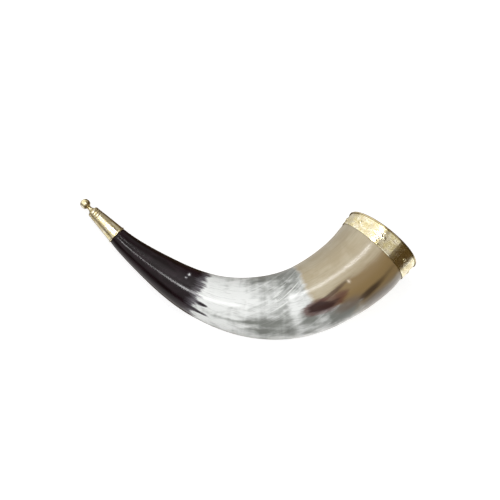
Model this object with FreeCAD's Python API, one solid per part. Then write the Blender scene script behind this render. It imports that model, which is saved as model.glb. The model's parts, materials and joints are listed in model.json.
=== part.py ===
"""A brass-mounted cattle horn, lying on its side on a table.

The horn is hollow from its mouth for two thirds of its length and solid beyond. A brass band is
nailed round the mouth, and a brass lip caps the cut edge. A turned brass cap, bedded in cement,
covers the cut tip, and a ball finial screws through it into the solid horn.

Everything is made in the horn's own frame, in millimetres: u runs from the tip end towards the
mouth end, v is the other direction in the plane that the horn bends in, towards the hollow side
of the bend, and w is square to that plane. The finished pieces are then laid on the table.
"""

import FreeCAD
import Part
import math
import os

Vector = FreeCAD.Vector
Placement = FreeCAD.Placement
Rotation = FreeCAD.Rotation

# ---- Mouth end of the horn: a straight cone, filed true to take the band ----
MOUTH_CENTRE = Vector(143.0, 21.6, 0.0)
MOUTH_TURN = 47.0           # degrees from u towards v that the mouth looks
TRUED_LENGTH = 19.0
TRUED_RADIUS_MOUTH = 36.0
TRUED_RADIUS_BACK = 35.5

# ---- The horn's line from there to the tip cap: u, v, w, outer radius, flatness of the section ----
LINE = [
    (119.8, -2.7, 0.0, 35.1, 0.985),
    (91.9, -21.6, 0.0, 33.3, 0.96),
    (60.4, -34.1, 0.0, 31.0, 0.95),
    (26.5, -36.3, 0.2, 27.6, 0.95),
    (-6.9, -29.4, 1.2, 22.9, 0.95),
    (-37.4, -14.7, 3.2, 18.6, 0.955),
    (-63.6, 4.0, 6.0, 14.1, 0.97),
    (-86.4, 23.0, 9.8, 9.9, 0.99),
]
CAP_CENTRE = Vector(-95.4, 32.1, 11.9)  # middle of the step that the tip cap butts against
CAP_AXIS = Vector(-0.695, 0.719, 0.19)   # the way the tip points
STEP_RADIUS = 8.2

# ---- Hollow ----
WALL_MOUTH = 3.8
WALLS = [3.9, 4.2, 4.8, 6.0, 7.6, 9.2]   # at the first places on the line
HOLLOW_TAIL_LENGTH = 12.0                # beyond the last of those
HOLLOW_TAIL_RADIUS = 3.5

# ---- Mouth band ----
BAND_WIDTH = 14.0           # along the mouth's axis, in the middle
BAND_THICKNESS = 0.7
RIM_LEAN = (2.2, 1.2)       # degrees that the edge leans: in the plane of the bend, square to it
FOOT_LEAN = (-2.2, -3.0)
LAP_START = 28.0            # degrees round the band from its upper side, towards the horn's back
LAP_END = 40.0
LAP_THICKNESS = 0.5

# ---- Mouth lip ----
LIP_HEIGHT = 1.6
LIP_OVERHANG = 0.8          # past the band's outer face
LIP_CORNER = 0.9
FLANGE_DEPTH = 6.0
FLANGE_THICKNESS = 0.6
BORE_RADIUS = 32.2          # clear way through the lip

# ---- Nails of the band ----
NAIL_COUNT = 8
NAIL_FIRST = 7.5            # degrees round the band, as for the lap
NAIL_HEAD_RADIUS = 1.7
NAIL_HEAD_HEIGHT = 0.65
NAIL_SHANK_RADIUS = 0.6
NAIL_SHANK_LENGTH = 2.9

# ---- Tip cap, along its own axis from the step ----
CAP_LENGTH = 31.6
CAP_BASE_RADIUS = 8.5
CAP_NOSE_RADIUS = 5.1
CAP_WALL = 1.0
CAP_END_WALL = 2.0
CAP_SHOULDER = 1.6
FOOT_BEAD_HEIGHT = 1.6
FOOT_BEAD_PROUD = 0.35
GROOVES = [23.8, 26.0, 28.2]
GROOVE_RADIUS = 0.5
GROOVE_LIFT = 0.2           # of the groove cutter's middle above the cone
SPIGOT_LENGTH = 21.0        # of horn inside the cap

# ---- Ball finial ----
BALL_RADIUS = 4.5
NECK_LENGTH = 4.5           # from the cap to the ball
NECK_RADIUS = 1.9
COLLAR_RADIUS = 3.4
COLLAR_HEIGHT = 2.4
STUD_RADIUS = 1.5
STUD_IN_HORN = 12.0

# ---- Lying on the table: turns that bring the resting points level ----
REST_TURN_U = -5.37
REST_TURN_V = -8.42

TRIM_SIDE = 200.0           # side of the block that trims a piece at a plane
OVERRUN = 5.0               # how far a cutter runs past what it cuts
FINENESS = 0.02             # of the facets that find the lowest point
W_AXIS = Vector(0, 0, 1)


def frame_at(centre, axis):
    """Placement with z along the axis, x towards the hollow side of the bend and y along w."""
    z = Vector(axis).normalize()
    x = W_AXIS.cross(z).normalize()
    y = z.cross(x)
    return Placement(centre, Rotation(x, y, z, "ZXY"))


def placed(shape, placement):
    moved = shape.copy()
    moved.Placement = placement.multiply(moved.Placement)
    return moved


def turned(profile):
    """Solid turned about z from (radius, height) points. A point in a third item's place, as in
    (radius, height, (radius, height)), is where the arc that leads to it passes."""
    edges = []
    for before, here in zip(profile, profile[1:] + profile[:1]):
        start = Vector(before[0], 0, before[1])
        end = Vector(here[0], 0, here[1])
        if len(here) == 3:
            through = Vector(here[2][0], 0, here[2][1])
            edges.append(Part.Arc(start, through, end).toShape())
        else:
            edges.append(Part.LineSegment(start, end).toShape())
    face = Part.Face(Part.Wire(edges))
    solid = face.revolve(Vector(), Vector(0, 0, 1), 360)
    return Part.Solid(solid) if solid.ShapeType != "Solid" else solid


def mouth_axis():
    turn = math.radians(MOUTH_TURN)
    return Vector(math.cos(turn), math.sin(turn), 0)


MOUTH = frame_at(MOUTH_CENTRE, mouth_axis())
CAP = frame_at(CAP_CENTRE, CAP_AXIS)


def edge_plane(height, lean):
    """Placement of an edge of the band: origin on the mouth's axis, z square to the edge."""
    turn = Rotation(Vector(0, 1, 0), lean[0]).multiply(Rotation(Vector(1, 0, 0), lean[1]))
    return MOUTH.multiply(Placement(Vector(0, 0, height), turn))


RIM = edge_plane(0.0, RIM_LEAN)
BAND_FOOT = edge_plane(-BAND_WIDTH, FOOT_LEAN)


def block_above(placement):
    """Everything on the mouth side of a plane."""
    corner = Vector(-TRIM_SIDE / 2, -TRIM_SIDE / 2, 0)
    return placed(Part.makeBox(TRIM_SIDE, TRIM_SIDE, TRIM_SIDE, corner), placement)


def trued_radius(height):
    """Radius of the trued cone at a height along the mouth's axis, where the mouth is at 0."""
    taper = (TRUED_RADIUS_MOUTH - TRUED_RADIUS_BACK) / TRUED_LENGTH
    return TRUED_RADIUS_MOUTH + taper * height


def trued_cone(offset, back=TRUED_LENGTH):
    """The trued cone grown by an offset, running past the mouth."""
    cone = Part.makeCone(trued_radius(-back) + offset, trued_radius(OVERRUN) + offset,
                         back + OVERRUN, Vector(0, 0, -back))
    return placed(cone, MOUTH)


def horn_line():
    """The horn's centre line from the back of the trued cone to the cap, and its places."""
    start = MOUTH.multVec(Vector(0, 0, -TRUED_LENGTH))
    places = [start] + [Vector(*place[:3]) for place in LINE] + [CAP_CENTRE]
    curve = Part.BSplineCurve()
    curve.interpolate(Points=places, InitialTangent=mouth_axis() * -1,
                      FinalTangent=Vector(CAP_AXIS).normalize())
    return curve, places


def lofted(places, radii, flatnesses):
    """Solid through oval sections square to the horn's line, each as wide across the bend as its
    radius says."""
    curve = horn_line()[0]
    wires = []
    for place, radius, flatness in zip(places, radii, flatnesses):
        oval = Part.Wire([Part.Ellipse(Vector(), radius, radius * flatness).toShape()])
        tangent = curve.tangent(curve.parameter(place))[0]
        wires.append(placed(oval, frame_at(place, tangent)))
    return Part.makeLoft(wires, True, False)


def horn_outside():
    places = horn_line()[1]
    radii = [TRUED_RADIUS_BACK] + [place[3] for place in LINE] + [STEP_RADIUS]
    flatnesses = [1.0] + [place[4] for place in LINE] + [1.0]
    body = lofted(places, radii, flatnesses)
    return body.fuse(trued_cone(0.0)).cut(block_above(RIM))


def horn_hollow():
    """The space inside the horn, running past the mouth."""
    curve, places = horn_line()
    count = len(WALLS)
    last = curve.parameter(places[count])
    tail = curve.value(curve.parameterAtDistance(HOLLOW_TAIL_LENGTH, last))
    radii = [TRUED_RADIUS_BACK - WALL_MOUTH]
    radii += [place[3] - wall for place, wall in zip(LINE, WALLS)]
    radii.append(HOLLOW_TAIL_RADIUS)
    flatnesses = [1.0] + [place[4] for place in LINE[:count]] + [1.0]
    hollow = lofted(places[:count + 1] + [tail], radii, flatnesses)
    hollow = hollow.fuse(Part.makeSphere(HOLLOW_TAIL_RADIUS, tail))
    hollow = hollow.fuse(trued_cone(-WALL_MOUTH))
    seat = Part.makeCylinder(BORE_RADIUS + FLANGE_THICKNESS, FLANGE_DEPTH + OVERRUN,
                             Vector(0, 0, -FLANGE_DEPTH))
    return hollow.fuse(placed(seat, RIM))


def cap_radius(height):
    return CAP_BASE_RADIUS + (CAP_NOSE_RADIUS - CAP_BASE_RADIUS) * height / CAP_LENGTH


def spigot():
    """The end of the horn inside the cap."""
    return placed(Part.makeCone(cap_radius(0) - CAP_WALL, cap_radius(SPIGOT_LENGTH) - CAP_WALL,
                                SPIGOT_LENGTH), CAP)


def stud_hole():
    deep = STUD_IN_HORN + CAP_LENGTH
    return placed(Part.makeCylinder(STUD_RADIUS, deep,
                                    Vector(0, 0, SPIGOT_LENGTH - STUD_IN_HORN)), CAP)


def nail_frames():
    """Placements of the nails, origin on the band's face and z out of it."""
    height = -BAND_WIDTH / 2
    taper = math.atan((TRUED_RADIUS_MOUTH - TRUED_RADIUS_BACK) / TRUED_LENGTH)
    radius = trued_radius(height) + BAND_THICKNESS
    for i in range(NAIL_COUNT):
        angle = math.radians(NAIL_FIRST + i * 360 / NAIL_COUNT)
        out = Vector(-math.sin(angle), math.cos(angle), 0)
        square = out * math.cos(taper) - Vector(0, 0, math.sin(taper))
        yield MOUTH.multiply(Placement(out * radius + Vector(0, 0, height),
                                       Rotation(Vector(0, 0, 1), square)))


def nail_shanks():
    shank = Part.makeCylinder(NAIL_SHANK_RADIUS, NAIL_SHANK_LENGTH,
                              Vector(0, 0, -NAIL_SHANK_LENGTH))
    return [placed(shank, frame) for frame in nail_frames()]


def horn_body():
    solid = horn_outside().fuse(spigot()).cut(horn_hollow()).cut(stud_hole())
    return solid.cut(Part.makeCompound(nail_shanks())).removeSplitter()


def rim_band():
    """The wrapped strip, its free end lapping over the other, trimmed at both edges."""
    sheet = trued_cone(BAND_THICKNESS).cut(trued_cone(0.0, TRUED_LENGTH + OVERRUN))
    lap = trued_cone(BAND_THICKNESS + LAP_THICKNESS).cut(
        trued_cone(0.0, TRUED_LENGTH + OVERRUN))
    reach = TRUED_RADIUS_MOUTH * 2
    corners = [Vector(0, 0, -TRIM_SIDE / 2)]
    for angle in (LAP_START, LAP_END):
        turn = math.radians(angle)
        corners.append(Vector(-math.sin(turn) * reach, math.cos(turn) * reach, -TRIM_SIDE / 2))
    wedge = Part.Face(Part.makePolygon(corners + corners[:1])).extrude(Vector(0, 0, TRIM_SIDE))
    strip = sheet.fuse(lap.common(placed(wedge, MOUTH)))
    strip = strip.cut(block_above(RIM)).common(block_above(BAND_FOOT))
    return strip.cut(Part.makeCompound(nail_shanks())).removeSplitter()


def rim_lip():
    """Ring over the cut edge of the horn and the band, with a flange down the inside."""
    outer = TRUED_RADIUS_MOUTH + BAND_THICKNESS + LIP_OVERHANG
    seat = BORE_RADIUS + FLANGE_THICKNESS
    bend = LIP_CORNER * (1 - math.sqrt(0.5))
    straight = LIP_HEIGHT - LIP_CORNER
    profile = [
        (BORE_RADIUS, -FLANGE_DEPTH),
        (seat, -FLANGE_DEPTH),
        (seat, 0),
        (outer, 0),
        (outer, straight),
        (outer - LIP_CORNER, LIP_HEIGHT, (outer - bend, LIP_HEIGHT - bend)),
        (BORE_RADIUS + LIP_CORNER, LIP_HEIGHT),
        (BORE_RADIUS, straight, (BORE_RADIUS + bend, LIP_HEIGHT - bend)),
    ]
    return placed(turned(profile), RIM)


def rim_nails():
    sphere = (NAIL_HEAD_RADIUS ** 2 + NAIL_HEAD_HEIGHT ** 2) / (2 * NAIL_HEAD_HEIGHT)
    half = math.asin(NAIL_HEAD_RADIUS / sphere) / 2
    midway = (sphere * math.sin(half), NAIL_HEAD_HEIGHT - sphere * (1 - math.cos(half)))
    profile = [
        (0, -NAIL_SHANK_LENGTH),
        (NAIL_SHANK_RADIUS, -NAIL_SHANK_LENGTH),
        (NAIL_SHANK_RADIUS, 0),
        (NAIL_HEAD_RADIUS, 0),
        (0, NAIL_HEAD_HEIGHT, midway),
    ]
    nail = turned(profile)
    return Part.makeCompound([placed(nail, frame) for frame in nail_frames()])


def tip_cap():
    """Turned hollow cone with a bead at its foot and three grooves near its nose."""
    inside = CAP_LENGTH - CAP_END_WALL
    bend = CAP_SHOULDER * (1 - math.sqrt(0.5))
    bead_out = CAP_BASE_RADIUS + FOOT_BEAD_PROUD
    profile = [
        (cap_radius(0) - CAP_WALL, 0),
        (CAP_BASE_RADIUS, 0),
        (cap_radius(FOOT_BEAD_HEIGHT), FOOT_BEAD_HEIGHT, (bead_out, FOOT_BEAD_HEIGHT / 2)),
        (cap_radius(CAP_LENGTH - CAP_SHOULDER), CAP_LENGTH - CAP_SHOULDER),
        (CAP_NOSE_RADIUS - CAP_SHOULDER, CAP_LENGTH, (CAP_NOSE_RADIUS - bend, CAP_LENGTH - bend)),
        (STUD_RADIUS, CAP_LENGTH),
        (STUD_RADIUS, inside),
        (cap_radius(inside) - CAP_WALL, inside),
    ]
    cap = turned(profile)
    for height in GROOVES:
        ring = Part.makeTorus(cap_radius(height) + GROOVE_LIFT, GROOVE_RADIUS,
                              Vector(0, 0, height))
        cap = cap.cut(ring)
    return placed(cap, CAP)


def tip_bedding():
    """Cement that fills the cap's nose beyond the end of the horn."""
    end = CAP_LENGTH - CAP_END_WALL
    profile = [
        (STUD_RADIUS, SPIGOT_LENGTH),
        (cap_radius(SPIGOT_LENGTH) - CAP_WALL, SPIGOT_LENGTH),
        (cap_radius(end) - CAP_WALL, end),
        (STUD_RADIUS, end),
    ]
    return placed(turned(profile), CAP)


def tip_finial():
    """Ball on a waisted neck, with the stud that holds the cap on the horn."""
    reach = math.sqrt(BALL_RADIUS ** 2 - NECK_RADIUS ** 2)
    foot = CAP_LENGTH + COLLAR_HEIGHT
    joint = CAP_LENGTH + NECK_LENGTH
    middle = joint + reach
    profile = [
        (0, SPIGOT_LENGTH - STUD_IN_HORN),
        (STUD_RADIUS, SPIGOT_LENGTH - STUD_IN_HORN),
        (STUD_RADIUS, CAP_LENGTH),
        (COLLAR_RADIUS, CAP_LENGTH),
        (NECK_RADIUS, foot, (NECK_RADIUS + 0.4, CAP_LENGTH + COLLAR_HEIGHT * 0.55)),
        (NECK_RADIUS, joint),
        (0, middle + BALL_RADIUS, (BALL_RADIUS, middle)),
    ]
    return placed(turned(profile), CAP)


def rest_placement(shapes):
    """Turns the pieces so that they lie on z = 0, with the origin below the middle of them all."""
    turn = Rotation(Vector(1, 0, 0), REST_TURN_U).multiply(
        Rotation(Vector(0, 1, 0), REST_TURN_V))
    lying = placed(Part.makeCompound(shapes), Placement(Vector(), turn))
    points = lying.tessellate(FINENESS)[0]
    across = [point.x for point in points]
    along = [point.y for point in points]
    lowest = min(point.z for point in points)
    middle = Vector(min(across) + max(across), min(along) + max(along), 0) / 2
    return Placement(Vector(-middle.x, -middle.y, -lowest), turn)


def main():
    pieces = {
        "horn_body": horn_body(),
        "rim_band": rim_band(),
        "rim_lip": rim_lip(),
        "rim_nails": rim_nails(),
        "tip_cap": tip_cap(),
        "tip_bedding": tip_bedding(),
        "tip_finial": tip_finial(),
    }
    rest = rest_placement(list(pieces.values()))
    os.makedirs("parts", exist_ok=True)
    for name, shape in pieces.items():
        placed(shape, rest).exportStep(f"parts/{name}.step")
        print(name, shape.isValid(), len(shape.Solids), round(shape.Volume, 1))


main()
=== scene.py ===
"""Looks of a brass-mounted drinking horn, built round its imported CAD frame. Metres, Z up.

The horn, its band, nails, cap and ball are rebuilt here as finer meshes on the surfaces of their
CAD nodes. The lip and the cement keep their CAD meshes and get better materials.
"""

import json
import math

import bpy
import numpy as np
from mathutils import Euler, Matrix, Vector, noise
from mathutils.bvhtree import BVHTree

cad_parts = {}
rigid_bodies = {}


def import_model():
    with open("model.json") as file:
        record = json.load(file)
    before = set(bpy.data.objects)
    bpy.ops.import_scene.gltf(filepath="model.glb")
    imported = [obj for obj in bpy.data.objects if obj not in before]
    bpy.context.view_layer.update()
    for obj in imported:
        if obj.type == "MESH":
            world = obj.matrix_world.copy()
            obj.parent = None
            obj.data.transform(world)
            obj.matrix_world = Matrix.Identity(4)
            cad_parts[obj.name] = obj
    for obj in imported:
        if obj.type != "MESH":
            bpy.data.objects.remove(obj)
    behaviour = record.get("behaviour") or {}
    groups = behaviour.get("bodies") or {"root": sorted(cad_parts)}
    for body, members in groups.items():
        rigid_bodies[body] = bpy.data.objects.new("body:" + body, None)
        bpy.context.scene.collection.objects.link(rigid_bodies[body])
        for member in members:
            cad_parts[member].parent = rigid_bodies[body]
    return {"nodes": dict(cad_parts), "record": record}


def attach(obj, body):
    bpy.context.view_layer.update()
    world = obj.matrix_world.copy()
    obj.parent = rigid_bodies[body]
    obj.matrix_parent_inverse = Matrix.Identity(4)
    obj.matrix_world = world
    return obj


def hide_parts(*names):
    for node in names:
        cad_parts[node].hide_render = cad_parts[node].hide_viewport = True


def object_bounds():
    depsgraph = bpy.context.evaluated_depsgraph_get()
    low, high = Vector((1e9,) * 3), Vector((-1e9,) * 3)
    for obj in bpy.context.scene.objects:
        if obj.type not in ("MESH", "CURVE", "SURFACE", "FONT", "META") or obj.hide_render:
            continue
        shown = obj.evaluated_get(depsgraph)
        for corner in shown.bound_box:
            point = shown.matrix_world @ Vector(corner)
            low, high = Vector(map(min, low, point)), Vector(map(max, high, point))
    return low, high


for leftover in list(bpy.data.objects):
    bpy.data.objects.remove(leftover)
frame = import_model()
cad_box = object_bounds()
box_middle = (cad_box[0] + cad_box[1]) / 2

MM = 0.001
UP = Vector((0, 0, 1))
NUDGE = 0.02 * MM           # how far inside an edge its last rays pass
BEYOND_BAND = 45 * MM       # farther from the axis than the horn and its band reach
BEYOND_CAP = 30 * MM        # farther from the axis than the cap and the horn's end reach
BAND_RAY_LENGTH = 12 * MM   # of rays from beyond the band, which stop soon after its wall

# ---- Camera: nearly overhead, as far away as a long lens would be ----
CAMERA_LENS = 104.0
CAMERA_DISTANCE = 1300 * MM
CAMERA_TURN = (9.87, -8.02, -1.35)              # degrees about X, Y and Z from straight down
AIM_OFFSET = Vector((1.6, 16.7, -12.7)) * MM    # what it looks at, from the middle of the box

# ---- Colours: linear red, green and blue ----
BRASS_PALE = (0.91, 0.885, 0.71)
BRASS_DEEP = (0.80, 0.73, 0.43)
BRASS_BROWN = (0.32, 0.21, 0.06)
MARBLE_WHITE = (0.87, 0.885, 0.865)
MARBLE_GREY = (0.225, 0.235, 0.215)
MARBLE_STROKE = (0.88, 0.90, 0.87)
TAN = (0.47, 0.39, 0.255)
TAN_PALE = (0.54, 0.47, 0.33)
TAN_HAIR = (0.27, 0.22, 0.13)
# Painted shade on the tan, on the hollow side of the bend.
TAN_PAINTED_SHADE = (0.27, 0.235, 0.165)
TAN_BROWN = (0.265, 0.180, 0.078)
SMOKE = (0.165, 0.140, 0.118)
UMBER = (0.050, 0.030, 0.018)
HAZE = (0.175, 0.135, 0.105)
LINE_BROWN = (0.085, 0.045, 0.025)
FLECK = (0.85, 0.75, 0.60)
RUST_RED = (0.110, 0.035, 0.028)
RUST_DARK = (0.034, 0.013, 0.012)
DUSK = (0.105, 0.095, 0.108)
BLACK = (0.0060, 0.0026, 0.0040)
BLACK_PALE = (0.016, 0.0075, 0.0115)
WALL_DARK = (0.33, 0.27, 0.18)
WALL_PALE = (0.46, 0.40, 0.30)
# Painted shade deep in the hollow.
WALL_DEEP_SHADE = (0.12, 0.10, 0.085)
CEMENT_DARK = (0.16, 0.15, 0.13)
CEMENT_PALE = (0.42, 0.40, 0.36)

# ---- Stage ----
FLOOR_SIDE = 4.0
FLOOR_GREY = (0.45, 0.45, 0.45, 1.0)
FLOOR_GLOW = 0.75
PALE_BACKGROUND = (0.9, 0.9, 0.9)
ROOM = (0.100, 0.062, 0.022)    # what gloss shows of the room between its glows
# A glow is its middle, the angles from there at which it starts to fade and is gone, and its
# radiance.
GLOWS = (
    ((-0.64, 0.66, 0.40), (40, 53), 1.20),      # wide, at the back and left
    ((0.22, -0.22, 0.96), (15, 28), 0.80),      # overhead, beside the camera
    ((-0.53, -0.43, 0.73), (16, 34), 0.75),     # high, at the front and left
    ((0.62, -0.30, -0.72), (20, 32), 1.25),     # from the table, at the right
    ((-0.60, -0.56, -0.57), (22, 38), 1.00),    # from the table, at the front and left
    ((-0.36, 0.60, -0.71), (19, 28), 0.70),     # from the table, at the back
    ((0.50, 0.80, 0.33), (10, 28), 0.45),       # faint, at the back and right
)

# ---- Horn mesh ----
HORN_AROUND = 160           # points round the horn
HORN_STEP = 1.2 * MM        # between rings of the outside
HOLLOW_STEP = 2.0 * MM
LINE_STEP = 4.0 * MM        # between the middles that find the horn's line
LINE_RAYS = 48              # round each of those middles
FIRST_REACH = 60 * MM       # of the rays round the first of them
LONGEST_HOLLOW = 400 * MM
SPIGOT_LENGTH = 20          # mm along the horn that its colour runs on inside the cap
BLEND_LENGTH = 30 * MM      # over which rings turn from an end's plane to square
EDGE_RADIUS = 34.5 * MM     # somewhere on the cut edge at the mouth
RIPPLE_LENGTH = 9 * MM      # between the horn's growth ripples
RIPPLE_HEIGHT = 0.05 * MM
FLAT_LENGTH = 45 * MM       # of the scraped flats along the horn
FLAT_HEIGHT = 0.10 * MM
FLATS_ROUND = 3.2           # radius of the ring in the noise that the flats come from
BANDED_LENGTH = 17 * MM     # of horn that the band covers
HOLE_DEPTH = 0.3 * MM       # under the horn's face at which a ray went down a nail's hole
WEAR_FROM_BAND = 8 * MM     # lengths over which the wear comes in and goes out
WEAR_TO_CAP = 6 * MM
FLANGE_DEPTH = 6 * MM       # of the seat for the lip's flange

# ---- Pigment of the horn: places in mm from the mouth, angles in degrees from the upper side,
# ---- positive towards the hollow side of the bend
TIP_DARK_FROM = 187         # the near-black tip begins here
TAN_TO = (57, 89)           # tan ends here, on the belly's side and elsewhere
STROKE_SLANT = 1.1          # degrees a mm that the white strokes turn round the horn
FIBRE_RADIUS = 25           # of the tube that the fibres' coordinates are wrapped on
# The spots of each field of pigment. A spot is its weight, its middle, how far it reaches along
# and round the horn, and its lean in degrees a mm if it has one.
SPOTS = {
    "tip_dark": (
        (0.60, (180, -31), (5, 4)),         # dark blots ahead of the tip
        (0.55, (177, -54), (10, 4)),
        (-0.75, (203, 30), (1.8, 7)),       # pale flecks in it
        (-0.70, (204, 15), (1.6, 4)),
    ),
    "grey": (
        (0.80, (127, 60), (18, 22)),        # on the hollow side of the bend
        (0.75, (101, 58), (14, 28)),
        (0.40, (112, 14), (26, 22)),        # on the upper side
        (0.45, (150, 48), (12, 14)),
        (0.90, (124, -37), (17, 14)),       # on the belly
        (0.55, (118, -15), (10, 9)),
        (0.75, (131, -58), (12, 13)),
        (0.45, (110, -62), (14, 14)),
        (0.70, (93, -36), (8, 14)),
        (0.60, (146, -40), (26, 3.5), -0.25),
        (1.05, (68, -54), (18, 22)),
        (0.45, (130, 170), (60, 60)),       # underneath
        (-0.35, (166, 0), (24, 40)),        # whiter next to the tip
    ),
    "stroked": ((1.00, (113, 14), (30, 34)),),
    "brown": (
        (0.30, (54, -16), (16, 12)),
        (0.35, (20, 170), (45, 36)),        # underneath
    ),
    "umber": (
        (1.00, (45, -42), (14, 7), -0.20),
        (0.35, (22, -36), (16, 7)),
    ),
    "rust": (
        (1.20, (87, -20), (9, 9), -0.25),
        (1.05, (78, -27), (12, 8), -0.10),
        (0.40, (64, -19), (9, 9), -0.20),
    ),
    "line": ((1.20, (73, -12), (20, 3.6), -0.36),),
    "haze": ((1.00, (63, -41), (13, 13)),),
    "fleck": ((1.00, (54, -8), (1.0, 2.4)),),
    "smoke": ((1.00, (38, -68), (34, 24)),),
}
# A white growth ring on each side of the top: its weight, its place, and how far it reaches.
RING_BELOW = (0.45, 104, 3.2)
RING_ABOVE = (0.50, 157, 3.0)

# ---- Band mesh ----
BAND_AROUND = 1024
BAND_ROWS = 64
BAND_RADIUS = 36.5 * MM
BAND_THICKNESS = 0.7 * MM
BAND_EDGE_ROUNDING = 0.12 * MM
BAND_EDGE_LENGTH = 0.72 * MM
BAND_DENT_SIZE = 9 * MM
BAND_DENT_DEPTH = 0.05 * MM
BAND_DENT_SEED = 3
LAP_THICKNESS = 0.5 * MM
LAP_RUN_UP = math.radians(9)    # over which the strip climbs onto its other end

# ---- Chasing on the band, in mm across and along it ----
CHASING_DEPTH = 0.09 * MM
SCROLLS = 8                 # waves of the scroll round the band, one to a nail
SCROLL_MIDDLE = 7.4
SCROLL_SWING = 2.9
SPIRAL_PITCH = 1.75
SPIRAL_REACH = 3.3
SPIRAL_EYE = 0.6            # radius of the dot in the middle of each spiral
LEAF_RADIUS = 0.75
DOT_PITCH = 0.93            # of the punched ground
BORDER_LINES = (1.75, 13.15)    # heights of the lines along the two borders
BORDER_LINE_WIDTH = 0.22

# ---- Small turned and round pieces ----
TURNED_AROUND = 128
TURNED_SPACING = 0.22 * MM  # between the rings of a turned piece
TURNED_SAMPLES = 1200       # heights at which its outline is found
TURNED_DENT_SIZE = 4.5 * MM
TURNED_DENT_SEED = 5
GROOVE_DEPTH = 0.35 * MM    # at which the brass is as brown as it gets
NAIL_COUNT = 8
NAIL_AROUND = 32
NAIL_RADIUS = 1.7 * MM
NAIL_HEIGHT = 0.65 * MM
NAIL_SHANK_RADIUS = 0.6 * MM
NAIL_SHANK_LENGTH = 2.9 * MM
NAIL_BENDS = 14             # points on the outline of a head's dome
NAIL_CLEAR = 1.2 * MM       # from its middle, where the band's face is met beside its hole
NAIL_DENT_SIZE = 1.1 * MM
NAIL_DENT_DEPTH = 0.12 * MM


# ======== Reading the frame ========

def mount(name):
    """A mount's place and its axis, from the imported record."""
    found = next(m for m in frame["record"]["mounts"] if m["name"] == name)
    return Vector(found["pos_m"]), Vector(found["axis"]).normalized()


def skin_of(node):
    """A CAD node's surface, for rays."""
    mesh = frame["nodes"][node].data
    return BVHTree.FromPolygons([v.co for v in mesh.vertices],
                                [p.vertices for p in mesh.polygons])


def points_of(node):
    """A CAD node's corners as an array."""
    return np.array([v.co for v in frame["nodes"][node].data.vertices])


def across(ahead):
    """Unit vectors square to a way ahead: the upper one, and one to the bend's hollow side."""
    upper = (UP - ahead * UP.dot(ahead)).normalized()
    return upper, ahead.cross(upper)


def outward(upper, side, count):
    """Unit vectors round a ring, from the upper one towards the side one."""
    angles = np.arange(count) * math.tau / count
    return np.cos(angles)[:, None] * upper + np.sin(angles)[:, None] * side


def radii_outside(skin, centre, ways, reach):
    """Distances from a centre to a skin that rays from outside meet, or nan."""
    found = []
    for way in ways:
        out = Vector(way)
        hit = skin.ray_cast(Vector(centre) + out * reach, -out, reach)[0]
        found.append(math.nan if hit is None else (hit - Vector(centre)).length)
    return found


def radii_inside(skin, centre, ways):
    """Distances from a centre in a hollow to its wall, or nan where there is no hollow."""
    found = []
    for way in ways:
        out = Vector(way)
        hit, normal = skin.ray_cast(Vector(centre), out)[:2]
        hollow = hit is not None and normal.dot(out) < 0
        found.append((hit - Vector(centre)).length if hollow else math.nan)
    return found


def smoothed(values, passes):
    """Rows of values evened out along their length. The first and last stay."""
    values = values.copy()
    for _ in range(passes):
        values[1:-1] = (values[:-2] + 2 * values[1:-1] + values[2:]) / 4
    return values


def smoothed_round(values, passes):
    """Rows of values evened out round each row, which closes on itself."""
    for _ in range(passes):
        values = (np.roll(values, 1, 1) + 2 * values + np.roll(values, -1, 1)) / 4
    return values


# ======== Making meshes ========

def ring_mesh(name, rings, tips, layers):
    """Closed smooth mesh through rings of points, as an object that rides on the root.

    tips are the points that close its two ends. Without them, the last ring joins the first.
    layers holds each point attribute's values, at the rings and then at the tips."""
    count, around = rings.shape[:2]
    corners = rings.reshape(-1, 3)
    index = np.arange(count * around).reshape(count, around)
    low = index if tips is None else index[:-1]
    high = np.roll(index, -1, 0) if tips is None else index[1:]
    quads = np.stack([low, np.roll(low, -1, 1), np.roll(high, -1, 1), high], -1)
    faces = quads.reshape(-1, 4).tolist()
    if tips is not None:
        corners = np.vstack([corners, tips])
        first, last = len(corners) - 2, len(corners) - 1
        for j in range(around):
            k = (j + 1) % around
            faces.append((first, int(index[0, k]), int(index[0, j])))
            faces.append((last, int(index[-1, j]), int(index[-1, k])))
    mesh = bpy.data.meshes.new(name)
    mesh.from_pydata(corners.tolist(), [], faces)
    if inside_out(mesh, corners):
        mesh.flip_normals()
    mesh.polygons.foreach_set("use_smooth", [True] * len(mesh.polygons))
    for layer, values in layers.items():
        add_layer(mesh, layer, values)
    piece = bpy.data.objects.new(name, mesh)
    bpy.context.scene.collection.objects.link(piece)
    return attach(piece, "root")


def inside_out(mesh, corners):
    """Whether a closed mesh's faces look inwards: its signed volume is then below zero."""
    mesh.calc_loop_triangles()
    triangles = np.array([t.vertices for t in mesh.loop_triangles])
    a, b, c = (corners[triangles[:, k]] for k in range(3))
    return np.einsum("ij,ij->i", a, np.cross(b, c)).sum() < 0


def add_layer(mesh, name, values):
    """Writes a point attribute: one number a point, or a vector of three."""
    kind, field = ("FLOAT_VECTOR", "vector") if values.ndim == 2 else ("FLOAT", "value")
    made = mesh.attributes.new(name, kind, "POINT")
    made.data.foreach_set(field, values.astype(np.float32).ravel())


def swell(points, size, depth, seed):
    """Uneven heights over points: soft bumps about size apart and up to depth high."""
    shift = Vector((seed * 7.3, seed * 3.1, seed * 5.7))
    return np.array([noise.noise(Vector(p) / size + shift) for p in points]) * depth


# ======== Horn ========

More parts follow.
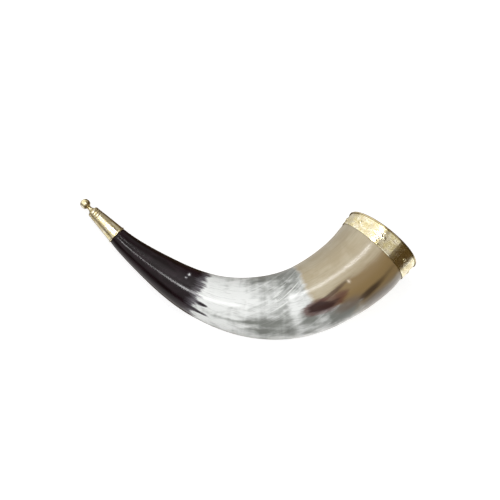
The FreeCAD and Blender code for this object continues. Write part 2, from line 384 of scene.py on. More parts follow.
def horn_line(skin, edge, mouth_axis, foot, foot_axis):
    """The horn's line from its cut edge to the foot of the tip cap: lengths along it, middles,
    and ways ahead there."""
    middles = [edge]
    centre, ahead = edge - mouth_axis * LINE_STEP, -mouth_axis
    reach = FIRST_REACH
    while (foot - centre).dot(foot_axis) > LINE_STEP:
        for _ in range(2):
            ways = outward(*across(ahead), LINE_RAYS)
            radii = np.array(radii_outside(skin, centre, ways, reach))
            centre = centre + Vector((ways * radii[:, None]).mean(0))
        ahead = (ahead + (centre - middles[-1]).normalized()).normalized()
        reach = 1.7 * max(radii)
        middles.append(centre)
        centre = centre + ahead * LINE_STEP
    middles.append(foot)
    line = smoothed(np.array(middles), 6)
    ways = np.gradient(line, axis=0)
    ways /= np.linalg.norm(ways, axis=1)[:, None]
    runs = np.linalg.norm(np.diff(line, axis=0), axis=1)
    return np.concatenate([[0], np.cumsum(runs)]), line, smoothed(ways, 4)


def ring_frames(places, line, mouth_axis, foot_axis):
    """Centres, and upper and side vectors, of rings along the horn's line. They are square to
    it, and turn to the planes of its two ends near those."""
    lengths, middles, ways = line
    frames = []
    for place in places:
        centre = [np.interp(place, lengths, middles[:, k]) for k in range(3)]
        ahead = Vector([np.interp(place, lengths, ways[:, k]) for k in range(3)])
        near_mouth = max(0.0, 1 - place / BLEND_LENGTH)
        near_foot = max(0.0, 1 - (lengths[-1] - place) / BLEND_LENGTH)
        ahead = ahead.lerp(-mouth_axis, near_mouth).lerp(foot_axis, near_foot).normalized()
        frames.append([centre, *across(ahead)])
    return np.array(frames)


def rings_at(frames, radii):
    """Points of rings from their frames and their radii at even angles."""
    return np.array([frame[0] + outward(frame[1], frame[2], len(row)) * row[:, None]
                     for frame, row in zip(frames, radii)])


def wear_of_horn(places, radii):
    """Small unevenness of the outside: growth ripples and scraped flats."""
    angles = np.arange(radii.shape[1]) * math.tau / radii.shape[1]
    bumps = np.zeros_like(radii)
    for i, place in enumerate(places):
        ripple = noise.noise(Vector((place / RIPPLE_LENGTH, 4.2, 0))) * RIPPLE_HEIGHT
        for j, angle in enumerate(angles):
            across_it = Vector((math.cos(angle), math.sin(angle), 0)) * FLATS_ROUND
            flat = noise.noise(across_it + Vector((0, 0, place / FLAT_LENGTH))) * FLAT_HEIGHT
            bumps[i, j] = ripple + flat
    return bumps


def horn_piece():
    """The horn: hollow from its mouth, solid beyond, and cut down to a spigot in the cap."""
    skin = skin_of("horn_body")
    bore, mouth_axis = mount("mouth")
    neck, foot_axis = mount("finial_neck")
    over_edge = bore + across(-mouth_axis)[0] * EDGE_RADIUS + mouth_axis * EDGE_RADIUS
    edge_below = skin.ray_cast(over_edge, -mouth_axis)[3]
    edge = bore + mouth_axis * (EDGE_RADIUS - edge_below)
    foot = neck + foot_axis * float(((points_of("tip_cap") - neck) @ foot_axis).min())
    end = neck + foot_axis * float(((points_of("horn_body") - neck) @ foot_axis).max())
    line = horn_line(skin, edge, mouth_axis, foot, foot_axis)
    whole = line[0][-1]

    places, outside = outside_rings(skin, line, mouth_axis, foot_axis)
    inner_places, inner_rings, bottom = hollow_rings(skin, line, mouth_axis, foot_axis)
    rings = np.vstack([inner_rings[::-1], outside, spigot_rings(skin, foot, end, foot_axis)])
    every_place = np.concatenate([inner_places[::-1], places,
                                  [whole, whole + SPIGOT_LENGTH * MM]])
    inside = np.concatenate([np.ones(len(inner_places)), np.zeros(len(places) + 2)])
    layers = horn_layers(every_place, inside, inner_places[-1], whole)
    horn = ring_mesh("horn_polished", rings, [bottom, end], layers)
    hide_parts("horn_body")
    return horn


def outside_rings(skin, line, mouth_axis, foot_axis):
    """Places and rings of the outside, from the cut edge to the cap's foot, with their wear.
    The nails' holes under the band are bridged."""
    whole = line[0][-1]
    places = np.linspace(NUDGE, whole - NUDGE, round(whole / HORN_STEP))
    frames = ring_frames(places, line, mouth_axis, foot_axis)
    radii = np.array([
        radii_outside(skin, centre, outward(upper, side, HORN_AROUND), BEYOND_BAND)
        for centre, upper, side in frames])
    banded = places < BANDED_LENGTH
    radii[banded] = np.maximum(radii[banded],
                               np.median(radii[banded], 1)[:, None] - HOLE_DEPTH)
    radii = smoothed_round(smoothed(radii, 3), 2)
    worn = np.clip((places - BANDED_LENGTH) / WEAR_FROM_BAND, 0, 1)
    worn *= np.clip((whole - places) / WEAR_TO_CAP, 0, 1)
    radii += wear_of_horn(places, radii) * worn[:, None]
    return places, rings_at(frames, radii)


def hollow_rings(skin, line, mouth_axis, foot_axis):
    """Places and rings down the hollow's wall, past the flange's seat, and its bottom."""
    step_in = [NUDGE, FLANGE_DEPTH - NUDGE, FLANGE_DEPTH + NUDGE]
    places = np.concatenate([step_in, np.arange(FLANGE_DEPTH + HOLLOW_STEP, LONGEST_HOLLOW,
                                                HOLLOW_STEP)])
    frames = ring_frames(places, line, mouth_axis, foot_axis)
    radii = []
    for centre, upper, side in frames:
        row = radii_inside(skin, centre, outward(upper, side, HORN_AROUND))
        if np.isnan(row).any():
            break
        radii.append(row)
    count = len(radii)
    radii = np.array(radii)
    radii[3:] = smoothed_round(smoothed(radii[3:], 2), 2)

    last, upper, side = (Vector(v) for v in frames[count - 1])
    way_on = upper.cross(side)
    way_on = way_on if way_on.dot(last - Vector(frames[count - 2][0])) > 0 else -way_on
    bottom = last + way_on * skin.ray_cast(last, way_on)[3]
    return places[:count], rings_at(frames[:count], radii), bottom


def spigot_rings(skin, foot, end, axis):
    """The two rings of the spigot, at the cap's foot and at the horn's end."""
    upper, side = across(axis)
    frames = np.array([[foot + axis * NUDGE, upper, side], [end - axis * NUDGE, upper, side]])
    radii = np.array([
        radii_outside(skin, centre, outward(upper, side, HORN_AROUND), BEYOND_CAP)
        for centre, upper, side in frames])
    return rings_at(frames, radii)


def horn_layers(places, inside, hollow_end, whole):
    """Point attributes of the horn: where each point is, coordinates in mm that run with the
    fibres and with the white strokes, and the fields of pigment and of painted shade."""
    angles = np.arange(HORN_AROUND) * math.tau / HORN_AROUND
    along = np.append(np.repeat(places, HORN_AROUND), [hollow_end, whole]) / MM
    angle = np.append(np.tile(angles, len(places)), [0, 0])
    slanted = angle + np.radians(STROKE_SLANT) * along
    layers = {
        "along": along,
        "fibres": wrapped(along, angle),
        "strokes": wrapped(along, slanted),
        "inside": np.append(np.repeat(inside, HORN_AROUND), [1, 0]),
    }
    layers.update(pigment_and_shade(along, np.degrees((angle + math.pi) % math.tau - math.pi)))
    return layers


def wrapped(along, angle):
    """Coordinates in mm on a straight tube of one radius, for patterns that run along it."""
    return np.stack([along, FIBRE_RADIUS * np.sin(angle), FIBRE_RADIUS * np.cos(angle)], 1)


def eased(value, low, high):
    """0 below low, 1 above high, and smooth between."""
    share = np.clip((value - low) / (high - low), 0, 1)
    return share * share * (3 - 2 * share)


def patch(along, angle, middle, reach, slant=0.0):
    """A soft oval patch: 1 at its middle, fading over its reach along and round the horn. It
    leans by its slant, in degrees a mm."""
    off_along = along - middle[0]
    off_angle = (angle - middle[1] - slant * off_along + 180) % 360 - 180
    return np.exp(-(off_along / reach[0]) ** 2 - (off_angle / reach[1]) ** 2)


def growth_ring(along, weight, place, reach):
    """A soft ring round the horn."""
    return weight * np.exp(-((along - place) / reach) ** 2)


def pigment_and_shade(along, angle):
    """Fields of the horn's colours, mostly from 0 to 1: its pigment, and painted shade on the
    hollow side of the tan.
    """
    fields = {name: sum(weight * patch(along, angle, *spot) for weight, *spot in spots)
              for name, spots in SPOTS.items()}
    fields["tip_dark"] += np.clip((along - TIP_DARK_FROM) / 26 + 0.5, 0, 1)
    below = eased(angle, 22, 2)
    fields["grey"] -= growth_ring(along, *RING_BELOW) * below
    fields["grey"] -= growth_ring(along, *RING_ABOVE) * (1 - below)
    fields["brown"] += (eased(angle, 10, -26) * eased(angle, -66, -40)
                        * eased(along, 78, 60))
    belly = eased(angle, -20, -46) * eased(angle, -175, -120)
    tan_end = TAN_TO[1] + (TAN_TO[0] - TAN_TO[1]) * belly
    fields["tan"] = np.clip((tan_end - along) / (12 + 14 * belly) + 0.5, 0, 1)
    # Painted shade: the tan is darker on the hollow side of the bend.
    fields["shade"] = eased(angle, 30, 62) * eased(angle, 150, 100)
    return fields


# ======== Brass ========

def ring_of_nails():
    """Middle and axis of the ring of nails, which are the band's, and the first nail's angle."""
    nails = points_of("rim_nails")
    middle = nails.mean(0)
    spread_ways = np.linalg.eigh(np.cov((nails - middle).T))[1]
    axis = Vector(spread_ways[:, 0])
    axis = axis if axis.dot(mount("mouth")[1]) > 0 else -axis
    upper, side = across(-axis)
    turns = np.arctan2((nails - middle) @ side, (nails - middle) @ upper)
    first = np.angle(np.exp(1j * NAIL_COUNT * turns).mean()) / NAIL_COUNT
    return Vector(middle), axis, first


def plane_of(points):
    """Middle and normal of the plane nearest to points."""
    middle = points.mean(0)
    return middle, np.linalg.svd(points - middle)[2][2]


def mended(radii):
    """Radii with each ring's gaps, where rays went through nail holes, filled from beside."""
    columns = np.arange(radii.shape[1])
    for row in radii:
        held = np.isfinite(row)
        row[~held] = np.interp(columns[~held], columns[held], row[held])
    return radii


def band_piece():
    """The chased strip, wrapped round the mouth with its end lapped and its foot rounded over."""
    skin = skin_of("rim_band")
    middle, axis, first_nail = ring_of_nails()
    upper, side = across(-axis)
    ways = outward(upper, side, BAND_AROUND)
    corners = points_of("rim_band")
    heights = (corners - middle) @ axis
    reach = float(heights.max() - heights.min())
    edges = []
    for end in (corners[heights < -0.3 * reach], corners[heights > 0.3 * reach]):
        point, normal = plane_of(end)
        guess = np.array(middle) + ways * BAND_RADIUS
        edges.append(((point - guess) @ normal) / (np.array(axis) @ normal))
    foot, top = edges[0] + NUDGE, edges[1] - NUDGE

    shares = np.linspace(0, 1, BAND_ROWS)
    levels = foot + shares[:, None] * (top - foot)
    outer = mended(np.array([
        [band_radius(skin, middle + axis * h, Vector(way)) for h, way in zip(row, ways)]
        for row in levels]))
    lap = outer > np.median(outer) + LAP_THICKNESS / 2
    angles = np.arange(BAND_AROUND) * math.tau / BAND_AROUND
    lap_from = angles[lap[BAND_ROWS // 2]].max()
    outer += LAP_THICKNESS * np.where(lap, 0, eased(lap_from + LAP_RUN_UP - angles, 0,
                                                   LAP_RUN_UP) * (angles > lap_from))
    inner = np.repeat(outer.min(1)[:, None], BAND_AROUND, 1) - BAND_THICKNESS

    pressed = chasing(angles - first_nail, (levels - foot) / MM)
    outer -= pressed * CHASING_DEPTH
    from_foot = (levels - foot) / BAND_EDGE_LENGTH
    outer -= BAND_EDGE_ROUNDING * np.clip(1 - from_foot, 0, 1) ** 2
    back_down = slice(None, None, -8)       # the inner face doesn't show, so few rows do
    rows = [at_levels(middle, axis, ways, levels, outer),
            at_levels(middle, axis, ways, levels[back_down], inner[back_down])]
    rings = np.vstack(rows)
    dents = swell(rings.reshape(-1, 3), BAND_DENT_SIZE, BAND_DENT_DEPTH, BAND_DENT_SEED)
    rings += ways[None] * dents.reshape(rings.shape[:2])[:, :, None]
    hidden = np.zeros((len(rows[1]), BAND_AROUND))
    layers = {"recess": np.vstack([pressed, hidden]).ravel()}
    band = ring_mesh("band_chased", rings, None, layers)
    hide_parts("rim_band")
    return band


def band_radius(skin, centre, out):
    """Distance from the band's axis to its outer face."""
    hit = skin.ray_cast(centre + out * BEYOND_BAND, -out, BAND_RAY_LENGTH)[0]
    return math.nan if hit is None else (hit - centre).length


def at_levels(middle, axis, ways, levels, radii):
    """Points at levels up the band's axis and radii out from it."""
    return (np.array(middle) + levels[:, :, None] * np.array(axis)
            + ways[None] * radii[:, :, None])


def chasing(angles, heights):
    """How far the tools pressed the band, from 0 to 1: a running scroll, with a spiral and three
    leaves in each bend, is left standing on a punched ground between two plain borders, each
    with a line along it."""
    run = (angles / math.tau * SCROLLS) % 1.0
    length = BAND_RADIUS / MM * math.tau / SCROLLS
    across_run = run * length * np.ones_like(heights)
    rise = heights - SCROLL_MIDDLE
    wave = SCROLL_SWING * np.sin(math.tau * run)
    slope = SCROLL_SWING * math.tau / length * np.cos(math.tau * run)
    nearest = np.abs(rise - wave) / np.sqrt(1 + slope ** 2) - 0.15
    for quarter, way in ((0.25, 1), (0.75, -1)):
        off = across_run - quarter * length
        up = (rise + 0.55 * way) * way
        out = np.hypot(off, up)
        turn = np.arctan2(up, off) / math.tau
        arm = (out / SPIRAL_PITCH - turn + 0.5) % 1.0 - 0.5
        coil = np.where(out < SPIRAL_REACH, np.abs(arm) * SPIRAL_PITCH, out - SPIRAL_REACH)
        nearest = np.minimum(nearest, np.where(out < SPIRAL_EYE, 0, coil))
        for step in (-0.5, 0.0, 0.5):
            leaf = np.hypot(off / 1.7 - step * 1.9, (up + 4.35) * 1.1)
            nearest = np.minimum(nearest, leaf - LEAF_RADIUS)
    ground = eased(nearest, 0.28, 0.52)
    turn = math.tau / DOT_PITCH
    dots = np.cos(across_run * turn) * np.cos(heights * turn)
    pressed = ground * (0.55 + 0.45 * eased(dots, -0.2, 0.7))
    inside_borders = eased(heights, 2.0, 2.3) * eased(heights, 12.9, 12.6)
    lines = sum(np.exp(-((heights - line) / BORDER_LINE_WIDTH) ** 2) for line in BORDER_LINES)
    return np.clip(pressed * inside_borders + 0.9 * lines, 0, 1)


def nail_pieces():
    """Domed heads, each hammered a little differently, on the band at even angles."""
    band = skin_of("rim_band")
    middle, axis, first = ring_of_nails()
    upper, side = across(-axis)
    made = []
    for i in range(NAIL_COUNT):
        angle = first + i * math.tau / NAIL_COUNT
        out = upper * math.cos(angle) + side * math.sin(angle)
        beside = [middle + axis * step for step in (-NAIL_CLEAR, NAIL_CLEAR)]
        hits = [band.ray_cast(p + out * BEYOND_BAND, -out)[:2] for p in beside]
        seat = (hits[0][0] + hits[1][0]) / 2
        normal = (hits[0][1] + hits[1][1]).normalized()
        made.append(nail(i, seat, normal))
    return made


def nail(number, seat, normal):
    """One nail: head and shank."""
    first, second = across(normal)
    bends = np.linspace(0, 1, NAIL_BENDS)[1:]
    profile = [(NAIL_SHANK_RADIUS, -NAIL_SHANK_LENGTH), (NAIL_SHANK_RADIUS, 0), (NAIL_RADIUS, 0)]
    profile += [(NAIL_RADIUS * math.cos(b * math.pi / 2), NAIL_HEIGHT * math.sin(b * math.pi / 2))
                for b in bends[:-1]]
    ways = outward(first, second, NAIL_AROUND)
    rings = np.array([np.array(seat + normal * h) + ways * r for r, h in profile])
    dents = swell(rings.reshape(-1, 3), NAIL_DENT_SIZE, NAIL_DENT_DEPTH, number)
    dents = dents.reshape(rings.shape[:2])
    dents[:2] = 0
    rings += np.array(normal) * dents[:, :, None]
    tips = [seat - normal * NAIL_SHANK_LENGTH, seat + normal * NAIL_HEIGHT * 0.97]
    heights = np.repeat([h for _, h in profile], NAIL_AROUND)
    recess = np.append(1 - np.clip(heights / NAIL_HEIGHT * 2, 0, 1), [1, 0])
    piece = ring_mesh(f"nail_{number + 1}", rings, tips, {"recess": recess})
    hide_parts("rim_nails")
    return piece


def profile_of(node, neck, axis, hollow):
    """Outline of a turned CAD node, as radii and heights along its axis from its neck: up the
    outside, and down the inside of a hollow one."""
    skin = skin_of(node)
    heights = (points_of(node) - neck) @ axis
    levels = np.linspace(heights.min() + NUDGE, heights.max() - NUDGE, TURNED_SAMPLES)
    out = across(axis)[0]
    outside = [radii_outside(skin, neck + axis * h, [out], BEYOND_CAP)[0] for h in levels]
    outline = np.stack([outside, levels], 1)
    if hollow:
        inside = [radii_inside(skin, neck + axis * h, [out])[0] for h in levels]
        outline = np.vstack([outline, np.stack([inside, levels], 1)[::-1]])
    return outline


def respaced(outline, spacing):
    """The same outline with its points evenly spaced."""
    runs = np.concatenate([[0], np.cumsum(np.linalg.norm(np.diff(outline, axis=0), axis=1))])
    places = np.linspace(0, runs[-1], round(runs[-1] / spacing))
    return np.stack([np.interp(places, runs, outline[:, k]) for k in range(2)], 1)


def turned_piece(name, node, hollow, dents):
    """A turned brass piece with its CAD node's outline, a little out of true and dented."""
    neck, axis = mount("finial_neck")
    outline = respaced(profile_of(node, neck, axis, hollow), TURNED_SPACING)
    ways = outward(*across(axis), TURNED_AROUND)
    rings = np.array([np.array(neck + axis * h) + ways * r for r, h in outline])
    uneven = swell(rings.reshape(-1, 3), TURNED_DENT_SIZE, dents, TURNED_DENT_SEED)
    rings -= ways[None] * np.abs(uneven).reshape(rings.shape[:2])[:, :, None]
    turning = np.repeat(outline[:, 1], TURNED_AROUND) / MM
    hull = np.maximum.accumulate(outline[::-1, 0])[::-1]
    recess = np.repeat(np.clip((hull - outline[:, 0]) / GROOVE_DEPTH, 0, 1), TURNED_AROUND)
    tips = None
    if not hollow:
        tips = [neck + axis * outline[0, 1], neck + axis * (outline[-1, 1] + NUDGE)]
        turning = np.append(turning, outline[[0, -1], 1] / MM)
        recess = np.append(recess, [0, 0])
    piece = ring_mesh(name, rings, tips, {"turning": turning, "recess": recess})
    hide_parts(node)
    return piece


# ======== Materials ========

def material(name, **constants):
    """A new material, its node tree and its shader, with values set on the shader itself."""
    made = bpy.data.materials.new(name)
    made.use_nodes = True
    shader = made.node_tree.nodes["Principled BSDF"]
    for socket, value in constants.items():
        shader.inputs[socket.replace("_", " ")].default_value = value
    return made, made.node_tree, shader


def put(tree, kind, inputs, **settings):
    """Adds a node, with its inputs linked or set, and returns its outputs."""
    node = tree.nodes.new("ShaderNode" + kind)
    for setting, value in settings.items():
        setattr(node, setting, value)
    for socket, value in inputs.items():
        if isinstance(value, bpy.types.NodeSocket):
            tree.links.new(value, node.inputs[socket])
        else:
            node.inputs[socket].default_value = value
    return node.outputs


def field(tree, name):
    """A point attribute that holds one number."""
    return put(tree, "Attribute", {}, attribute_name=name)["Fac"]


def grain(tree, vector, sizes, detail=3.0, roughness=0.55, distortion=0.0):
    """Noise from 0 to 1 over a vector in mm, with patches of these sizes."""
    scaled = put(tree, "VectorMath", {0: vector, 1: [1 / size for size in sizes]},
                 operation="MULTIPLY")[0]
    return put(tree, "TexNoise", {"Vector": scaled, "Scale": 1.0, "Detail": detail,
                                  "Roughness": roughness, "Distortion": distortion})["Fac"]


def spread(tree, value, low, high, to_low=0.0, to_high=1.0):
    """Eases a value from one range to another, and holds it at the ends."""
    return put(tree, "MapRange", {"Value": value, "From Min": low, "From Max": high,
                                  "To Min": to_low, "To Max": to_high},
               interpolation_type="SMOOTHSTEP")["Result"]


def maths(tree, operation, first, second):
    """One sum or product."""
    return put(tree, "Math", {0: first, 1: second}, operation=operation)[0]


def weighed(tree, *terms):
    """Sum of (value, weight) pairs."""
    total = 0.0
    for value, weight in terms:
        total = put(tree, "Math", {0: value, 1: weight, 2: total}, operation="MULTIPLY_ADD")[0]
    return total


def mixed(tree, share, first, second, mode="MIX"):
    """Mix of two colours. Each is linear red, green and blue, or a socket. The node's inputs 6
    and 7 and its output 2 are the ones for colour."""
    def colour(c):
        return c if isinstance(c, bpy.types.NodeSocket) else (*c, 1.0)
    return put(tree, "Mix", {0: share, 6: colour(first), 7: colour(second)},
               data_type="RGBA", blend_type=mode)[2]


def bumped(tree, shader, height, depth):
    """Raises the shader's surface by a height from 0 to 1, over a depth in metres."""
    normal = put(tree, "Bump", {"Height": height, "Strength": 1.0, "Distance": depth})["Normal"]
    tree.links.new(normal, shader.inputs["Normal"])


def marbling(tree, fibres, strokes):
    """White of the horn's middle: cloudy grey under thin white strokes, with rings of growth."""
    cloud = grain(tree, fibres, (16, 10, 10), 4.0, 0.5, 0.5)
    brush = grain(tree, fibres, (24, 2.6, 2.6), 4.0, 0.62, 0.3)
    slanted = grain(tree, strokes, (34, 3.6, 3.6), 3.0, 0.55, 0.3)
    rings = grain(tree, fibres, (7, 70, 70), 2.0, 0.5, 0.5)
    greyness = weighed(tree, (field(tree, "grey"), 1.0), (cloud, 1.6), (slanted, 0.7),
                       (brush, 0.6), (rings, 0.7))
    greyness = spread(tree, greyness, 1.58, 2.68)
    marble = mixed(tree, greyness, MARBLE_WHITE, MARBLE_GREY)
    fine = spread(tree, grain(tree, fibres, (13, 0.9, 0.9), 3.0, 0.6), 0.52, 0.72, 0.0, 0.35)
    marble = mixed(tree, fine, marble, MARBLE_GREY)
    thin = spread(tree, grain(tree, strokes, (28, 1.5, 1.5), 2.0, 0.5, 0.4), 0.57, 0.68)
    return mixed(tree, maths(tree, "MULTIPLY", thin, field(tree, "stroked")), marble,
                 MARBLE_STROKE)


def tan_of_horn(tree, fibres):
    """Tan by the mouth, browner on the belly's side, with an umber smear and smoky below it, and
    darkened by painted shade on the hollow side of the bend.
    """
    cloud = grain(tree, fibres, (22, 12, 12), 3.0, 0.55, 0.5)
    brush = grain(tree, fibres, (26, 3.2, 3.2), 4.0, 0.62, 0.3)
    hair = grain(tree, fibres, (45, 0.9, 0.9), 3.0, 0.6)
    tan = mixed(tree, spread(tree, cloud, 0.35, 0.65), TAN, TAN_PALE)
    tan = mixed(tree, spread(tree, hair, 0.45, 0.75, 0.0, 0.25), tan, TAN_HAIR)
    # Painted shade: darker tan on the hollow side of the bend.
    tan = mixed(tree, maths(tree, "MULTIPLY", field(tree, "shade"), 0.25), tan, TAN_PAINTED_SHADE)
    brown = weighed(tree, (field(tree, "brown"), 1.0), (brush, 0.5), (hair, 0.2))
    tan = mixed(tree, spread(tree, brown, 0.35, 1.15), tan, TAN_BROWN)
    smoke = weighed(tree, (field(tree, "smoke"), 1.0), (brush, 0.4))
    tan = mixed(tree, spread(tree, smoke, 0.45, 1.15, 0.0, 0.9), tan, SMOKE)
    umber = weighed(tree, (field(tree, "umber"), 1.0), (brush, 0.5), (hair, 0.25))
    return mixed(tree, spread(tree, umber, 0.55, 1.25, 0.0, 0.9), tan, UMBER)


def horn_material():
    """Polished horn: near-black tip, white marbling with grey clouds, and tan by the mouth."""
    made, tree, shader = material("polished_horn", Coat_Roughness=0.16, IOR=1.50,
                                  Coat_IOR=1.5, Specular_IOR_Level=0.26)
    fibres = put(tree, "Attribute", {}, attribute_name="fibres")["Vector"]
    strokes = put(tree, "Attribute", {}, attribute_name="strokes")["Vector"]
    fringe = grain(tree, fibres, (9, 1.6, 1.6), 3.0, 0.6, 0.3)
    brush = grain(tree, fibres, (20, 5, 5), 4.0, 0.6, 0.3)
    hair = grain(tree, fibres, (45, 0.9, 0.9), 3.0, 0.6)
    cloud = grain(tree, fibres, (15, 12, 12), 3.0, 0.55, 0.5)

    into_tan = weighed(tree, (field(tree, "tan"), 1.0), (fringe, 0.35), (brush, 0.75))
    base = mixed(tree, spread(tree, into_tan, 0.80, 1.35), marbling(tree, fibres, strokes),
                 tan_of_horn(tree, fibres))
    haze = weighed(tree, (field(tree, "haze"), 1.0), (brush, 0.3))
    base = mixed(tree, spread(tree, haze, 0.25, 1.1, 0.0, 0.85), base, HAZE)
    line = weighed(tree, (field(tree, "line"), 1.0), (brush, 0.6), (hair, 0.3))
    base = mixed(tree, spread(tree, line, 0.62, 1.35, 0.0, 0.85), base, LINE_BROWN)
    base = mixed(tree, field(tree, "fleck"), base, FLECK)
    rust = weighed(tree, (field(tree, "rust"), 1.0), (brush, 0.5), (fringe, 0.5))
    base = mixed(tree, spread(tree, rust, 0.62, 1.05, 0.0, 0.75), base, RUST_RED)
    base = mixed(tree, spread(tree, rust, 0.95, 1.65, 0.0, 0.95), base, RUST_DARK)
    dark = weighed(tree, (field(tree, "tip_dark"), 1.0), (fringe, 0.40), (brush, 0.60))
    base = mixed(tree, spread(tree, dark, 0.83, 1.06), base, DUSK)
    dark = spread(tree, dark, 0.98, 1.38)
    black = mixed(tree, spread(tree, cloud, 0.4, 0.7), BLACK, BLACK_PALE)
    outside = mixed(tree, dark, base, black)

    layers = grain(tree, fibres, (2.2, 60, 60), 4.0, 0.6)
    wall = mixed(tree, spread(tree, layers, 0.35, 0.65), WALL_DARK, WALL_PALE)
    # Painted shade: the wall darkens from 70 to 160 mm down the hollow.
    wall = mixed(tree, spread(tree, field(tree, "along"), 70, 160), wall, WALL_DEEP_SHADE)
    colour = mixed(tree, field(tree, "inside"), outside, wall)
    tree.links.new(colour, shader.inputs["Base Color"])

    gloss = weighed(tree, (cloud, 0.06), (hair, 0.08), (field(tree, "inside"), 0.30),
                    (dark, -0.14))
    tree.links.new(maths(tree, "ADD", gloss, 0.23), shader.inputs["Roughness"])
    bare = maths(tree, "MULTIPLY", dark, 0.30)
    tree.links.new(maths(tree, "SUBTRACT", 0.30, bare), shader.inputs["Coat Weight"])
    relief = weighed(tree, (hair, 0.6), (layers, field(tree, "inside")), (fringe, 0.5))
    relief = maths(tree, "MULTIPLY", relief, spread(tree, dark, 0.0, 1.0, 1.0, 0.12))
    bumped(tree, shader, relief, 0.03 * MM)
    return made


def brass_material(name, turned=False, recessed=True, tarnish_and_shade=0.0, satin=0.10):
    """Pale polished brass: cloudy, finely scratched, and brown where polish doesn't reach. The
    less of a polish it has, the more satin it is."""
    made, tree, shader = material(name, Metallic=1.0)
    where = object_mm(tree)
    cloud = grain(tree, where, (5, 5, 5), 4.0, 0.6)
    speck = grain(tree, where, (0.7, 0.7, 0.7), 3.0, 0.6)
    scratch = grain(tree, where, (0.25, 5, 0.25), 2.0, 0.5, 0.3)
    colour = mixed(tree, spread(tree, cloud, 0.35, 0.65), BRASS_PALE, BRASS_DEEP)
    stipple = grain(tree, where, (1.3, 1.3, 1.3), 2.0, 0.6)
    colour = mixed(tree, spread(tree, stipple, 0.48, 0.70, 0.0, 0.5), colour, BRASS_BROWN)
    stain = spread(tree, weighed(tree, (cloud, 0.7), (speck, 0.6)), 0.72, 0.95)
    colour = mixed(tree, maths(tree, "MULTIPLY", stain, 0.3), colour, BRASS_BROWN)
    # Browning all over by this share is partly tarnish and partly painted shade: the lip takes it
    # so that it shows as a dark line.
    colour = mixed(tree, tarnish_and_shade, colour, BRASS_BROWN)
    if recessed:
        recess = field(tree, "recess")
        colour = mixed(tree, maths(tree, "MULTIPLY", recess, 0.35), colour, BRASS_BROWN)
        stain = maths(tree, "ADD", stain, recess)
    tree.links.new(colour, shader.inputs["Base Color"])
    rough = weighed(tree, (cloud, 0.12), (speck, 0.10), (stain, 0.10))
    tree.links.new(maths(tree, "ADD", rough, satin), shader.inputs["Roughness"])
    relief = weighed(tree, (scratch, 0.25), (speck, 0.5))
    if turned:
        marks = put(tree, "CombineXYZ", {"X": field(tree, "turning")})[0]
        relief = weighed(tree, (relief, 1.0), (grain(tree, marks, (0.30, 1, 1), 3.0, 0.7), 1.0))
    bumped(tree, shader, relief, 0.025 * MM)
    return made


def object_mm(tree):
    """Place on the object, in mm."""
    place = put(tree, "TexCoord", {})["Object"]
    return put(tree, "VectorMath", {0: place, 1: (1 / MM,) * 3}, operation="MULTIPLY")[0]


def cement_material():
    """Grey, gritty and dull."""
    made, tree, shader = material("grey_cement", Roughness=0.95)
    where = object_mm(tree)
    grit = grain(tree, where, (0.5, 0.5, 0.5), 4.0, 0.7)
    colour = mixed(tree, spread(tree, grit, 0.3, 0.7), CEMENT_DARK, CEMENT_PALE)
    tree.links.new(colour, shader.inputs["Base Color"])
    bumped(tree, shader, grit, 0.15 * MM)
    return made


def dress(piece, made):
    """Gives a piece one material."""
    piece.data.materials.clear()
    piece.data.materials.append(made)


# ======== Stage ========

def camera():
    """Nearly overhead, turned as the photograph is."""
    turn = Euler([math.radians(a) for a in CAMERA_TURN])
    data = bpy.data.cameras.new("camera")
    data.lens = CAMERA_LENS
    data.sensor_width = 36
    eye = bpy.data.objects.new("camera", data)
    eye.rotation_euler = turn
    eye.location = box_middle + AIM_OFFSET + turn.to_matrix() @ Vector((0, 0, CAMERA_DISTANCE))
    bpy.context.scene.collection.objects.link(eye)
    bpy.context.scene.camera = eye


def floor():
    """Plain, pale and large, and lit a little from below as a light table is. Gloss shows the
    room's glow from below in its place."""
    mesh = bpy.data.meshes.new("floor")
    corners = [(x * FLOOR_SIDE, y * FLOOR_SIDE, 0) for x, y in ((-1, -1), (1, -1), (1, 1), (-1, 1))]
    mesh.from_pydata(corners, [], [(0, 1, 2, 3)])
    made = material("floor", Base_Color=FLOOR_GREY, Roughness=0.9,
                    Specular_IOR_Level=0.1, Emission_Color=(1.0, 1.0, 1.0, 1.0),
                    Emission_Strength=FLOOR_GLOW)[0]
    mesh.materials.append(made)
    ground = bpy.data.objects.new("floor", mesh)
    ground.visible_glossy = False
    bpy.context.scene.collection.objects.link(ground)


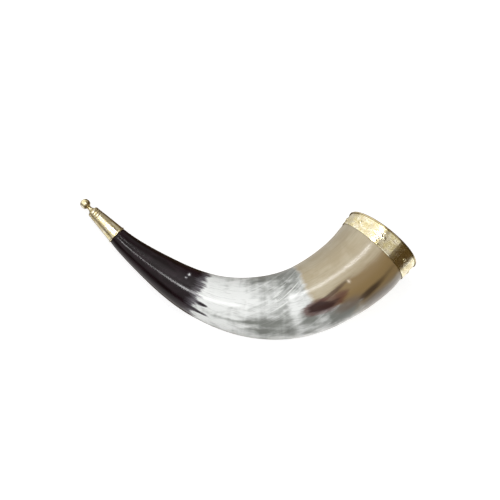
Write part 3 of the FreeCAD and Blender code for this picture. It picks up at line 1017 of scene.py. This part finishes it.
def softbox(name, way, distance, size, radiance, mirrored=True):
    """A lamp that looks at the horn from the way given, and shows in gloss if mirrored."""
    data = bpy.data.lights.new(name, "AREA")
    data.shape = "RECTANGLE"
    data.size, data.size_y = size
    data.energy = radiance * math.pi * size[0] * size[1]
    lamp = bpy.data.objects.new(name, data)
    direction = Vector(way).normalized()
    lamp.location = box_middle + direction * distance
    lamp.rotation_euler = direction.to_track_quat("Z", "Y").to_euler()
    lamp.visible_glossy = mirrored
    bpy.context.scene.collection.objects.link(lamp)


def room():
    """The world: dark with soft glows in it, as gloss shows it. It lights nothing else, and looks
    pale past the floor."""
    world = bpy.data.worlds.new("room")
    world.use_nodes = True
    tree = world.node_tree
    way = put(tree, "TexCoord", {})["Generated"]
    total = ROOM
    for middle, (full, gone), radiance in GLOWS:
        near = put(tree, "VectorMath", {0: way, 1: Vector(middle).normalized()},
                   operation="DOT_PRODUCT")["Value"]
        glow = spread(tree, near, math.cos(math.radians(gone)), math.cos(math.radians(full)),
                      0.0, radiance)
        total = mixed(tree, 1.0, total, glow, "ADD")
    seen = put(tree, "LightPath", {})["Is Camera Ray"]
    tree.links.new(mixed(tree, seen, total, PALE_BACKGROUND),
                   tree.nodes["Background"].inputs["Color"])
    bpy.context.scene.world = world
    world.cycles_visibility.diffuse = False


def light():
    """A wide sky and a fill in front that show in no gloss, two small softboxes beside the
    camera, whose lines of light run down the horn, and the room."""
    softbox("sky", (0.0, 0.0, 1.0), 1.2, (1.6, 1.6), 1.55, mirrored=False)
    softbox("fill", (0.2, -1.0, 0.5), 1.4, (1.4, 0.9), 0.9, mirrored=False)
    softbox("key_left", (-0.60, -0.03, 1.03), 1.19, (0.17, 0.17), 26.0)
    softbox("key_back", (-0.16, 0.31, 1.03), 1.09, (0.17, 0.17), 25.0)
    room()
    bpy.context.scene.view_settings.view_transform = "Standard"


camera()
floor()
light()
dress(horn_piece(), horn_material())
dress(band_piece(), brass_material("brass_chased"))
nail_brass = brass_material("brass_nails")
for nail_made in nail_pieces():
    dress(nail_made, nail_brass)
turned_brass = brass_material("brass_turned", turned=True, satin=0.16)
dress(turned_piece("cap_turned", "tip_cap", True, 0.10 * MM), turned_brass)
dress(turned_piece("finial_turned", "tip_finial", False, 0.05 * MM), turned_brass)
# The lip's brass is half way to brown: partly tarnish, partly painted shade.
dress(frame["nodes"]["rim_lip"], brass_material("brass_lip", recessed=False, tarnish_and_shade=0.5))
dress(frame["nodes"]["tip_bedding"], cement_material())
